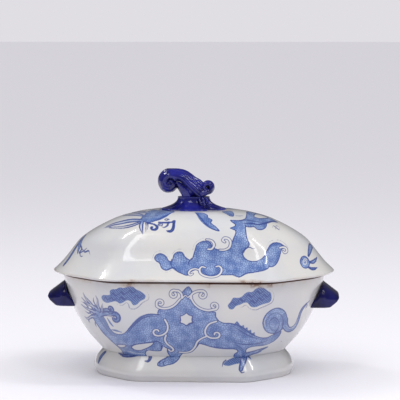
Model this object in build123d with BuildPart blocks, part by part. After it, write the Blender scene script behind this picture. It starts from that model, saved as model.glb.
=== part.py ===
from build123d import *
import math
import os

# Lidded soup tureen of moulded ironstone: an octagonal bowl with bowed ends on a spreading
# pedestal foot, a lug handle at each end, and a domed lid with a scroll finial.
# Millimetres. +X runs along the tureen, -Y is its front, +Z is up. The origin is on the
# surface that the foot stands on, under the middle of the bowl.

# ---- Driving dimensions -------------------------------------------------------------------
# Bowl
rim_length = 304.0  # end to end at the rim
rim_depth = 198.0  # front to back at the rim
rim_height = 117.0  # rim above the table
waist_length = 212.0  # where the bowl meets the foot
waist_depth = 128.0
waist_height = 28.0
bowl_wall = 5.5
bowl_floor = 7.0
rim_round = 1.6  # rounding of the rim's two edges

# Foot
foot_length = 233.0  # at its widest, the top of the plinth band
foot_depth = 150.0
plinth_height = 8.0
plinth_taper = 3.0  # how far the plinth band draws in towards the table
foot_wall = 7.0

# Lid
overhang_end = 11.0  # lid past the bowl's rim, at each end
overhang_side = 8.0  # lid past the bowl's rim, front and back
lip_height = 7.0  # thickness of the lid's rounded edge
dome_height = 73.0  # crown above the bowl's rim
crown_length = 92.0  # flat crown that the finial stands on
crown_depth = 64.0
lid_wall = 6.0

# Locating flange under the lid
flange_clearance = 3.5  # to the bowl's wall, all round
flange_wall = 4.5
flange_drop = 9.0
flange_round = 1.5

# Handles
handle_reach = 17.5  # nose past the bowl's rim
handle_width = 62.0  # at the bowl
handle_nose_width = 40.0
handle_top = 8.5  # below the rim
handle_height = 30.5
handle_nose_drop = 15.5  # nose below the handle's top
handle_chin_set = 11.0  # flat underside stops this far short of the nose
handle_chin_rise = 7.5
handle_edge = 3.0  # rounding of the nose
handle_corner = 8.0  # rounding of its corners in plan

# Finial
skirt_length = 76.0
skirt_depth = 52.0
skirt_edge = 1.5  # thickness of the skirt's rim
neck_length = 37.0
neck_depth = 25.0
neck_height = 15.0  # top of the neck above the crown
scroll_width = 27.0  # front to back
big_curl_radius = 15.5
small_curl_radius = 9.0
big_curl_reach = 27.0  # curl's centre from the neck's axis
small_curl_reach = 16.0
big_curl_rise = 17.0  # curl's centre above the neck's top
small_curl_rise = 11.5
scroll_foot = 16.0  # half the length that stands on the neck
scroll_edge = 2.5  # rounding of the scroll's sides
ridge_slope = math.radians(26)  # of the scroll's back, between its curls

# ---- Shape of the octagonal plan, shared by every section ---------------------------------
# Shares of a section's half length or half depth
panel_share = 0.58  # half width of the front panel
corner_share_x = 0.86  # where a corner panel meets the bowed end
corner_share_y = 0.56
ridge_share = 0.28  # softness of the ridges between panels

# Upright profiles: (share of the height, share of the spread in length, and in depth)
bowl_curve = [
    (0.00, 0.00, 0.00),
    (0.12, 0.21, 0.21),
    (0.26, 0.43, 0.43),
    (0.51, 0.71, 0.71),
    (0.78, 0.91, 0.91),
    (1.00, 1.00, 1.00),
]
foot_curve = [
    (0.00, 1.00, 1.00),
    (0.25, 0.95, 0.86),
    (0.62, 0.60, 0.44),
    (1.00, 0.00, 0.00),
]
dome_curve = [
    (0.00, 1.00, 1.00),
    (0.13, 0.92, 0.875),
    (0.26, 0.855, 0.76),
    (0.38, 0.80, 0.69),
    (0.51, 0.735, 0.635),
    (0.63, 0.64, 0.575),
    (0.76, 0.505, 0.485),
    (0.88, 0.345, 0.32),
    (0.955, 0.18, 0.16),
    (0.985, 0.08, 0.07),
    (1.00, 0.00, 0.00),
]
flare_curve = [
    (0.00, 1.00, 1.00),
    (0.15, 0.62, 0.62),
    (0.35, 0.32, 0.32),
    (0.65, 0.09, 0.09),
    (1.00, 0.00, 0.00),
]


def stations(curve, low_z, high_z, inner, outer):
    """Sections (z, half length, half depth) between an inner and an outer outline."""
    found = []
    for rise, spread_x, spread_y in curve:
        z = low_z + rise * (high_z - low_z)
        half_x = inner[0] + spread_x * (outer[0] - inner[0])
        half_y = inner[1] + spread_y * (outer[1] - inner[1])
        found.append((z, half_x, half_y))
    return found


def inset(profile, wall):
    """The same sections moved in by the wall, square to the profile."""
    moved = []
    for i, (z, half_x, half_y) in enumerate(profile):
        below, above = profile[max(i - 1, 0)], profile[min(i + 1, len(profile) - 1)]
        rise, spread = above[0] - below[0], above[1] - below[1]
        slant = math.hypot(rise, spread)
        side = wall * abs(rise) / slant
        moved.append((z + wall * spread / slant, half_x - side, half_y - side))
    return moved


def section(z, half_x, half_y):
    """The octagonal outline at height z: flat front and back, cut corners and bowed ends."""
    front_x = panel_share * half_x
    corner_x, corner_y = corner_share_x * half_x, corner_share_y * half_y
    with BuildSketch(Plane.XY.offset(z)) as plan:
        with BuildLine():
            Line((-front_x, -half_y), (front_x, -half_y))
            Line((front_x, -half_y), (corner_x, -corner_y))
            ThreePointArc((corner_x, -corner_y), (half_x, 0), (corner_x, corner_y))
            Line((corner_x, corner_y), (front_x, half_y))
            Line((front_x, half_y), (-front_x, half_y))
            Line((-front_x, half_y), (-corner_x, corner_y))
            ThreePointArc((-corner_x, corner_y), (-half_x, 0), (-corner_x, -corner_y))
            Line((-corner_x, -corner_y), (-front_x, -half_y))
        make_face()
        fillet(plan.vertices(), ridge_share * half_y)
    return plan.sketch


def sections(profile):
    return [section(*station) for station in profile]


# ---- Values worked out from the dimensions ------------------------------------------------
rim = (rim_length / 2, rim_depth / 2)
waist = (waist_length / 2, waist_depth / 2)
foot_edge = (foot_length / 2, foot_depth / 2)
foot_base = (foot_edge[0] - plinth_taper, foot_edge[1] - plinth_taper)
brim = (rim[0] + overhang_end, rim[1] + overhang_side)
crown = (crown_length / 2, crown_depth / 2)
lip_middle = rim_height + lip_height / 2
crown_z = rim_height + dome_height
skirt = (skirt_length / 2, skirt_depth / 2)
neck = (neck_length / 2, neck_depth / 2)
neck_z = crown_z + neck_height
nose_x = rim[0] + handle_reach
handle_top_z = rim_height - handle_top
handle_base_z = handle_top_z - handle_height
big_curl = (-big_curl_reach, neck_z + big_curl_rise)
small_curl = (small_curl_reach, neck_z + small_curl_rise)

bowl_profile = stations(bowl_curve, waist_height, rim_height, waist, rim)
foot_profile = stations(foot_curve, plinth_height, waist_height, waist, foot_edge)
dome_profile = stations(dome_curve, lip_middle, crown_z, crown, brim)
lip_profile = [
    (rim_height, brim[0] - lip_height / 2, brim[1] - lip_height / 2),
    (rim_height + lip_height / 6, brim[0] - lip_height / 8, brim[1] - lip_height / 8),
]
mouth = (rim[0] - bowl_wall, rim[1] - bowl_wall)
flange = (mouth[0] - flange_clearance, mouth[1] - flange_clearance)
lid_mouth = (flange[0] - flange_wall, flange[1] - flange_wall)

os.makedirs("parts", exist_ok=True)

# ---- Bowl ---------------------------------------------------------------------------------
with BuildPart() as bowl_body:
    loft(sections(bowl_profile))

with BuildPart() as bowl_cavity:
    above_rim = (rim_height + bowl_wall, *mouth)
    loft(sections(inset(bowl_profile, bowl_wall)[:-1] + [above_rim]))
    split(bisect_by=Plane.XY.offset(waist_height + bowl_floor), keep=Keep.TOP)

with BuildPart() as bowl:
    add(bowl_body.part)
    add(bowl_cavity.part, mode=Mode.SUBTRACT)
    fillet(bowl.faces().sort_by(Axis.Z)[-1].edges(), rim_round)
bowl.part.label = "bowl"
export_step(bowl.part, "parts/bowl.step")

# ---- Foot: a hollow pedestal that the bowl's floor closes ----------------------------------
with BuildPart() as foot:
    loft(sections([(0, *foot_base), (plinth_height, *foot_edge)]))
    loft(sections(foot_profile))
    hollow = [(0, *foot_base)] + foot_profile
    loft(
        sections([(z, half_x - foot_wall, half_y - foot_wall) for z, half_x, half_y in hollow]),
        mode=Mode.SUBTRACT,
    )
foot.part.label = "foot"
export_step(foot.part, "parts/foot.step")

# ---- Handles: solid lugs whose inner face is the bowl's own wall ---------------------------
with BuildPart() as handle_right:
    with BuildSketch(Plane.XZ) as lug_side:
        with BuildLine():
            Polyline(
                (waist[0], handle_top_z),
                (rim[0] - handle_edge, handle_top_z),
                (nose_x, handle_top_z - handle_nose_drop),
                (nose_x - handle_chin_set / 4, handle_base_z + handle_chin_rise),
                (nose_x - handle_chin_set, handle_base_z),
                (waist[0], handle_base_z),
                close=True,
            )
        make_face()
        fillet(lug_side.vertices().filter_by_position(Axis.X, rim[0], nose_x), handle_edge)
    extrude(amount=handle_width / 2, both=True)
    with BuildSketch(Plane.XY.offset(handle_base_z)) as lug_plan:
        with BuildLine():
            Polyline(
                (waist[0], -handle_width / 2),
                (rim[0], -handle_width / 2),
                (nose_x, -handle_nose_width / 2),
                (nose_x, handle_nose_width / 2),
                (rim[0], handle_width / 2),
                (waist[0], handle_width / 2),
                close=True,
            )
        make_face()
        fillet(lug_plan.vertices().filter_by_position(Axis.X, rim[0], nose_x), handle_corner)
    extrude(amount=handle_height, mode=Mode.INTERSECT)
    add(bowl_body.part, mode=Mode.SUBTRACT)
handle_right.part.label = "handle_right"
export_step(handle_right.part, "parts/handle_right.step")

with BuildPart() as handle_left:
    add(handle_right.part.mirror(Plane.YZ))
handle_left.part.label = "handle_left"
export_step(handle_left.part, "parts/handle_left.step")

# ---- Lid: a domed shell whose rounded lip rests on the bowl's rim --------------------------
with BuildPart() as lid_cavity:
    roof = [s for s in inset(dome_profile, lid_wall) if s[1] < lid_mouth[0] and s[2] < lid_mouth[1]]
    loft(sections([(rim_height, *lid_mouth)] + roof))

with BuildPart() as lid:
    loft(sections(lip_profile + dome_profile[:1]))
    loft(sections(dome_profile))
    add(lid_cavity.part, mode=Mode.SUBTRACT)
lid.part.label = "lid"
export_step(lid.part, "parts/lid.step")

# ---- Flange: the ring under the lid that drops into the bowl's mouth -----------------------
with BuildPart() as lid_flange:
    flange_foot = rim_height - flange_drop
    extrude(section(flange_foot, *flange), amount=flange_drop)
    extrude(section(flange_foot, *lid_mouth), amount=flange_drop, mode=Mode.SUBTRACT)
    fillet(lid_flange.faces().sort_by(Axis.Z)[0].edges(), flange_round)
lid_flange.part.label = "lid_flange"
export_step(lid_flange.part, "parts/lid_flange.step")

# ---- Finial: a flared skirt and neck, and the scroll that they carry ------------------------
with BuildPart() as finial_base:
    with BuildSketch(Plane.XY.offset(crown_z)):
        Ellipse(*skirt)
    extrude(amount=skirt_edge)
    for z, half_x, half_y in stations(flare_curve, crown_z + skirt_edge, neck_z, neck, skirt):
        with BuildSketch(Plane.XY.offset(z)):
            Ellipse(half_x, half_y)
    loft()
finial_base.part.label = "finial_base"
export_step(finial_base.part, "parts/finial_base.step")

with BuildPart() as finial_scroll:
    with BuildSketch(Plane.XZ):
        with Locations(big_curl):
            Circle(big_curl_radius)
        with Locations(small_curl):
            Circle(small_curl_radius)
        with BuildLine():
            Polyline(
                (-scroll_foot, neck_z),
                (scroll_foot, neck_z),
                small_curl,
                (small_curl[0] - small_curl_radius, small_curl[1] + small_curl_radius / 2),
                (big_curl[0] + big_curl_radius * math.sin(ridge_slope),
                 big_curl[1] + big_curl_radius * math.cos(ridge_slope)),
                big_curl,
                close=True,
            )
        make_face()
    extrude(amount=scroll_width / 2, both=True)
    sides = finial_scroll.faces().filter_by(Axis.Y)
    fillet(sides.edges().filter_by_position(Axis.Z, neck_z + 0.1, neck_z + 100), scroll_edge)
finial_scroll.part.label = "finial_scroll"
export_step(finial_scroll.part, "parts/finial_scroll.step")
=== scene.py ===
import math

import bmesh
import bpy
import numpy as np
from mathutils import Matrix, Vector


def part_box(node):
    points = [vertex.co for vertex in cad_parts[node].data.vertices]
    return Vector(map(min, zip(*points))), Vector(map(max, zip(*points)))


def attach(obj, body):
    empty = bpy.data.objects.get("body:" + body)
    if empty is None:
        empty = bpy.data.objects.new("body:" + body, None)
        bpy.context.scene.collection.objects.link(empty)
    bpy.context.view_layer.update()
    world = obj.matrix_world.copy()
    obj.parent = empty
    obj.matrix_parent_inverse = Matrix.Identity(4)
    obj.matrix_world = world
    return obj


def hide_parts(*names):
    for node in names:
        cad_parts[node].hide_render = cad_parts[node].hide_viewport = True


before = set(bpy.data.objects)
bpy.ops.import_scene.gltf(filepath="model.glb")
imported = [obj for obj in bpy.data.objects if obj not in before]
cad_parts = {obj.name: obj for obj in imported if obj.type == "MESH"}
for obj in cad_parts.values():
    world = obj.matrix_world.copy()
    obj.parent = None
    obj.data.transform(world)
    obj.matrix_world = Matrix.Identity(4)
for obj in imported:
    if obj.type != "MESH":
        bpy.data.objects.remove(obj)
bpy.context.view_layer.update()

# A lidded soup tureen: white ironstone with blue printed ornament, cobalt handles and finial.
# Shapes are worked out in millimetres in the frame's axes and made in metres.
MM = 0.001


def box_mm(node):
    """A node's lowest and highest corners in millimetres."""
    low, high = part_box(node)
    return np.array(low) / MM, np.array(high) / MM


def link(name, data):
    """A new object in the scene."""
    made = bpy.data.objects.new(name, data)
    bpy.context.scene.collection.objects.link(made)
    return made


bowl_low, bowl_high = box_mm("bowl")
_, foot_high = box_mm("foot")
lid_low, lid_high = box_mm("lid")
base_low, base_high = box_mm("finial_base")
scroll_low, scroll_high = box_mm("finial_scroll")

# ---- Sizes --------------------------------------------------------------------------------
# Millimetres, unless a line says otherwise.
waist = (106.0, 64.0)  # half length and half depth where bowl and foot meet
crown = (46.0, 32.0)  # the lid's top, under the finial
bowl_wall = 5.5
bowl_floor = 7.0
foot_wall = 7.0
plinth_height = 8.0
plinth_taper = 3.0
lid_wall = 6.0
lip_height = 7.0
flange_set = 13.5  # lid's inner edge in from the bowl's rim
edge_round = 1.6
lug_reach = 17.5  # handle's nose past the rim
lug_taper = 11.0  # a handle is this much narrower each side at its nose
lug_middle = 9.0  # height over a handle's underside that its rounding closes on
joint_shade_and_grime = 1.9  # reach of the painted shade and grime above and below the joint of bowl and lid
lid_undercut = 1.3  # the lid's edge stands this far above the rim
panel_share = 0.58  # half width of the front panel, as a share of the half length
corner_share_x = 0.86  # where a corner panel meets the bowed end
corner_share_y = 0.56
ridge_blur = 0.10  # softness of the ridges, as a share of the half depth
columns = (94, 60, 56)  # mesh columns in a quarter: front panel, corner panel, bowed end
row_step = 1.1  # between rows of printed faces
inner_step = 6.0  # between rows of inner faces
plinth_edge = 0.8  # bevel of the foot's lowest edges
floor_bend = 9.0  # reach of the bend between the bowl's wall and its floor
curl_radius = 15.5  # the finial's large curl
small_curl_radius = 9.0
skirt_neck = (18.5, 12.5)  # half length and half depth of the finial's neck
petal_edge = 1.4  # thickness of the finial skirt's hem
lug_voxel = 0.8
lug_smoothing = 16  # smoothing steps on a handle
print_wobble = 1.1  # the range over which the print's edges wander
net_scale = 0.40  # net cells to the millimetre over the tint
lamp_distance = 1.8  # metres
wall_light = 0.33  # the walls' brightness where they only light the tureen
wall_mirror = 0.16  # and where its glaze mirrors them

rim = (bowl_high[0], bowl_high[1])
foot_edge = (foot_high[0], foot_high[1])
brim = (lid_high[0], lid_high[1])
lip_middle = lid_low[2] + lip_height / 2

# Upright profiles: share of the height, share of the spread in length and in depth
bowl_curve = [(0, 0, 0), (0.12, 0.21, 0.21), (0.26, 0.43, 0.43), (0.51, 0.71, 0.71),
              (0.78, 0.91, 0.91), (1, 1, 1)]
foot_curve = [(0, 1, 1), (0.25, 0.95, 0.86), (0.62, 0.60, 0.44), (1, 0, 0)]
dome_curve = [(0, 1, 1), (0.13, 0.92, 0.875), (0.26, 0.855, 0.76), (0.38, 0.80, 0.69),
              (0.51, 0.735, 0.635), (0.63, 0.64, 0.575), (0.76, 0.505, 0.485),
              (0.88, 0.345, 0.32), (0.955, 0.18, 0.16), (0.985, 0.08, 0.07), (1, 0, 0)]


# ---- The octagonal surfaces ---------------------------------------------------------------
def curve_through(points, steps=12, closed=False):
    """A smooth curve through the points."""
    points = np.asarray(points, float)
    if closed:
        ends = np.concatenate([points[-1:], points, points[:2]])
    else:
        first, last = 2 * points[0] - points[1], 2 * points[-1] - points[-2]
        ends = np.concatenate([[first], points, [last]])
    t = np.linspace(0, 1, steps, endpoint=False)[:, None]
    found = []
    for a, b, c, d in zip(ends, ends[1:], ends[2:], ends[3:]):
        found.append(0.5 * (2 * b + (c - a) * t + (2 * a - 5 * b + 4 * c - d) * t ** 2
                            + (3 * b - a - 3 * c + d) * t ** 3))
    if not closed:
        found.append(points[-1:])
    return np.concatenate(found)


def profile(curve, low_z, high_z, inner, outer, step):
    """Rows (z, half length, half depth) at an even step up a profile, and their distance along it."""
    shares = np.array(curve, float)
    rows = np.empty_like(shares)
    rows[:, 0] = low_z + shares[:, 0] * (high_z - low_z)
    rows[:, 1] = inner[0] + shares[:, 1] * (outer[0] - inner[0])
    rows[:, 2] = inner[1] + shares[:, 2] * (outer[1] - inner[1])
    fine = curve_through(rows, 24)
    run = np.hypot(np.diff(fine[:, 2]), np.diff(fine[:, 0]))
    along = np.concatenate([[0], np.cumsum(run)])
    even = np.linspace(0, along[-1], int(round(along[-1] / step)) + 1)
    return np.stack([np.interp(even, along, fine[:, k]) for k in range(3)], 1), even


def outline(half_x, half_y):
    """The softened octagonal outline, from the middle of the front towards +X and all round."""
    front_x = panel_share * half_x
    corner_x, corner_y = corner_share_x * half_x, corner_share_y * half_y
    bow = half_x - corner_x
    radius = (corner_y ** 2 + bow ** 2) / (2 * bow)
    centre = half_x - radius
    sweep = math.atan2(corner_y, corner_x - centre)
    front, side, end = (np.linspace(0, 1, n, endpoint=False) for n in columns)
    quarter = np.concatenate([
        np.stack([front_x * front, np.full_like(front, -half_y)], 1),
        np.stack([front_x + (corner_x - front_x) * side,
                  -half_y + (half_y - corner_y) * side], 1),
        np.stack([centre + radius * np.cos(sweep * (1 - end)),
                  -radius * np.sin(sweep * (1 - end))], 1)])
    half = np.concatenate([quarter, [[half_x, 0]], quarter[::-1] * [1, -1]])
    full = np.concatenate([half[:-1], half[::-1][:-1] * [-1, 1]])
    gap = np.linalg.norm(np.roll(full, -1, 0) - full, axis=1).mean()
    spread = ridge_blur * half_y / gap
    reach = int(3 * spread) + 1
    shifts = np.arange(-reach, reach + 1)
    weights = np.exp(-0.5 * (shifts / spread) ** 2)
    soft = sum(w * np.roll(full, s, 0) for s, w in zip(shifts, weights / weights.sum()))
    return soft * [half_x / soft[:, 0].max(), half_y / soft[:, 1].max()]


def rounded(start, end, corner, steps=4):
    """Rows of a rounded edge between two rows, about their shared corner."""
    t = np.linspace(0, 1, steps + 2)[1:-1, None]
    start, end, corner = (np.asarray(p, float) for p in (start, end, corner))
    return (1 - t) ** 2 * start + 2 * t * (1 - t) * corner + t ** 2 * end


def inset(rows, wall):
    """The rows moved in by the wall, square to the profile."""
    slope = np.gradient(rows, axis=0)
    length = np.hypot(slope[:, 0], slope[:, 2])
    side = wall * np.abs(slope[:, 0]) / length
    moved = rows.copy()
    moved[:, 0] += wall * slope[:, 2] / length
    moved[:, 1] -= side
    moved[:, 2] -= side
    return moved


def stack(name, rings):
    """A closed smooth piece through a stack of equal rings in millimetres, capped at both ends."""
    count = len(rings[0])
    index = np.arange(len(rings) * count).reshape(len(rings), count)
    low, high = index[:-1], index[1:]
    faces = np.stack([low, np.roll(low, -1, 1), np.roll(high, -1, 1), high], -1).reshape(-1, 4)
    polygons = faces.tolist() + [index[0][::-1].tolist(), index[-1].tolist()]
    mesh = bpy.data.meshes.new(name)
    mesh.from_pydata((np.concatenate(rings) * MM).tolist(), [], polygons)
    mesh.shade_smooth()
    return link(name, mesh)


def shell(name, rows, printed):
    """A closed octagonal piece. printed is a slice of its rows and their distance up the face.

    Returns the object and, for each vertex, its place on the printed face: u round it from the
    middle of the front (or of the back), and v up it. Unprinted vertices have u and v of nan."""
    part, distance = printed
    rings, around, up = [], [], []
    for i, (z, half_x, half_y) in enumerate(rows):
        ring = outline(half_x, half_y)
        count = len(ring)
        rings.append(np.column_stack([ring, np.full(count, z)]))
        gaps = np.linalg.norm(np.roll(ring, -1, 0) - ring, axis=1)
        run = np.concatenate([[0], np.cumsum(gaps)[:-1]])
        total = gaps.sum()
        u = (run + total / 4) % (total / 2) - total / 4
        shown = part.start <= i < part.stop
        around.append(u if shown else np.full(count, np.nan))
        up.append(np.full(count, distance[i - part.start] if shown else np.nan))
    piece = stack(name, rings)
    work = bmesh.new()
    work.from_mesh(piece.data)
    bmesh.ops.recalc_face_normals(work, faces=work.faces)
    work.to_mesh(piece.data)
    work.free()
    return piece, np.concatenate(around), np.concatenate(up)


# ---- The printed ornament -----------------------------------------------------------------
# Its outlines follow those printed on the photographed tureen, read off from it. Points are (u, v)
# in millimetres on the face. Fronds of the builder's own stand in place of the creature's head.
FAR = 9.0  # millimetres, beyond any line's reach
LAYERS = ("wash", "ink", "bare", "deep", "pale")


def to_line(points, u, v):
    """Distance from each place to a line, and how far along the line its nearest point is."""
    a, b = points[:-1], points[1:]
    run = b - a
    length2 = np.maximum((run ** 2).sum(1), 1e-9)
    du, dv = u[:, None] - a[:, 0], v[:, None] - a[:, 1]
    t = np.clip((du * run[:, 0] + dv * run[:, 1]) / length2, 0, 1)
    gap = np.hypot(du - t * run[:, 0], dv - t * run[:, 1])
    nearest = gap.argmin(1)
    rows = np.arange(len(u))
    along = (nearest + t[rows, nearest]) / len(run)
    return gap[rows, nearest], along


def spread(values, share):
    """Values given at even steps from 0 to 1, read at these shares."""
    values = np.atleast_1d(values)
    return np.interp(share, np.linspace(0, 1, len(values)), values)


def directions(path):
    """Unit vectors along a line of points."""
    slope = np.gradient(path, axis=0)
    return slope / np.linalg.norm(slope, axis=1)[:, None]


def inside(points, u, v):
    """True for the places within a closed line."""
    a, b = points, np.roll(points, -1, 0)
    crosses = (a[:, 1] > v[:, None]) != (b[:, 1] > v[:, None])
    rise = np.where(np.abs(b[:, 1] - a[:, 1]) < 1e-9, 1e-9, b[:, 1] - a[:, 1])
    at = a[:, 0] + (v[:, None] - a[:, 1]) * (b[:, 0] - a[:, 0]) / rise
    return (crosses & (u[:, None] < at)).sum(1) % 2 == 1


def spiral(centre, start, end, turns, angle):
    """Points of a curl, from one radius to another, with its first angle in degrees."""
    count = max(5, int(abs(turns) * 9) + 1)
    t = np.linspace(0, 1, count)
    way = math.radians(angle) + 2 * math.pi * turns * t
    radius = start + (end - start) * t
    return [(centre[0] + r * math.cos(w), centre[1] + r * math.sin(w)) for r, w in zip(radius, way)]


class Ornament:
    """Distances in millimetres to what is printed on one face, kept as mesh attributes.

    wash: inside of the tinted areas, ink: dark lines, bare: lines left white with a dark edge,
    deep: dark areas, pale: fine light lines."""

    def __init__(self, u, v):
        self.known = ~np.isnan(u)
        self.u, self.v = u[self.known], v[self.known]
        self.layers = {name: np.full(len(self.u), FAR) for name in LAYERS}

    def near(self, points, reach):
        low, high = points.min(0) - reach, points.max(0) + reach
        return np.flatnonzero((self.u > low[0]) & (self.u < high[0])
                              & (self.v > low[1]) & (self.v < high[1]))

    def merge(self, layer, at, distance):
        field = self.layers[layer]
        field[at] = np.minimum(field[at], distance)

    def depth(self, points, steps):
        """The places near a closed shape, and their distance to its edge, negative within it."""
        line = curve_through(points, steps, closed=True)
        at = self.near(line, FAR)
        u, v = self.u[at], self.v[at]
        gap, _ = to_line(np.concatenate([line, line[:1]]), u, v)
        return at, np.where(inside(line, u, v), -gap, gap)

    def area(self, points, layer="wash", steps=8):
        """A filled shape; steps of 1 keeps its corners sharp."""
        self.merge(layer, *self.depth(points, steps))

    def hole(self, points, steps=8):
        """An area left white inside the tint; steps of 1 keeps its corners sharp."""
        at, distance = self.depth(points, steps)
        for layer in ("wash", "deep"):
            field = self.layers[layer]
            field[at] = np.maximum(field[at], -distance)

    def line(self, points, widths, layer="ink"):
        """A drawn line. widths are its half widths at even steps along it."""
        line = curve_through(points, 8)
        at = self.near(line, FAR)
        gap, along = to_line(line, self.u[at], self.v[at])
        self.merge(layer, at, gap - spread(widths, along))

    def limb(self, points, widths, edge=0.55):
        """A tinted band with a dark line along each side."""
        self.line(points, widths, "wash")
        line = curve_through(points, 8)
        slope = directions(line)
        width = spread(widths, np.linspace(0, 1, len(line)))
        for side in (-1, 1):
            shifted = line + side * (width * np.stack([-slope[:, 1], slope[:, 0]])).T
            self.line(shifted[::6], edge)

    def attach(self, piece):
        """Writes the layers and the places to the piece's mesh."""
        mesh = piece.data
        for name, field in self.layers.items():
            values = np.full(len(self.known), FAR, np.float32)
            values[self.known] = field
            mesh.attributes.new(name, "FLOAT", "POINT").data.foreach_set("value", values)
        place = np.zeros((len(self.known), 3), np.float32)
        place[self.known, 0] = self.u
        place[self.known, 1] = self.v
        mesh.attributes.new("place", "FLOAT_VECTOR", "POINT").data.foreach_set("vector", place.ravel())


def cloud(art, body, halo, waves):
    """A dark lobed cloud with darker waves inside it and a fine line standing off it."""
    art.area(body, "deep")
    art.line(halo, (0.15, 0.4, 0.4, 0.15))
    for x, y in waves:
        art.line([(x - 5, y - 2), (x - 2, y + 2), (x + 1, y - 1), (x + 5, y + 2)], (0.3, 0.9, 0.3))


def fins(art, feet, height):
    """Pointed fins standing along the left side of a line of feet."""
    for a, b in zip(feet, feet[1:]):
        a, b = np.array(a, float), np.array(b, float)
        out = np.array([a[1] - b[1], b[0] - a[0]]) / np.linalg.norm(b - a)
        tip = a + 0.25 * (b - a) + out * height
        art.area([a - out, tip, b - out], "deep", 1)


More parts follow.
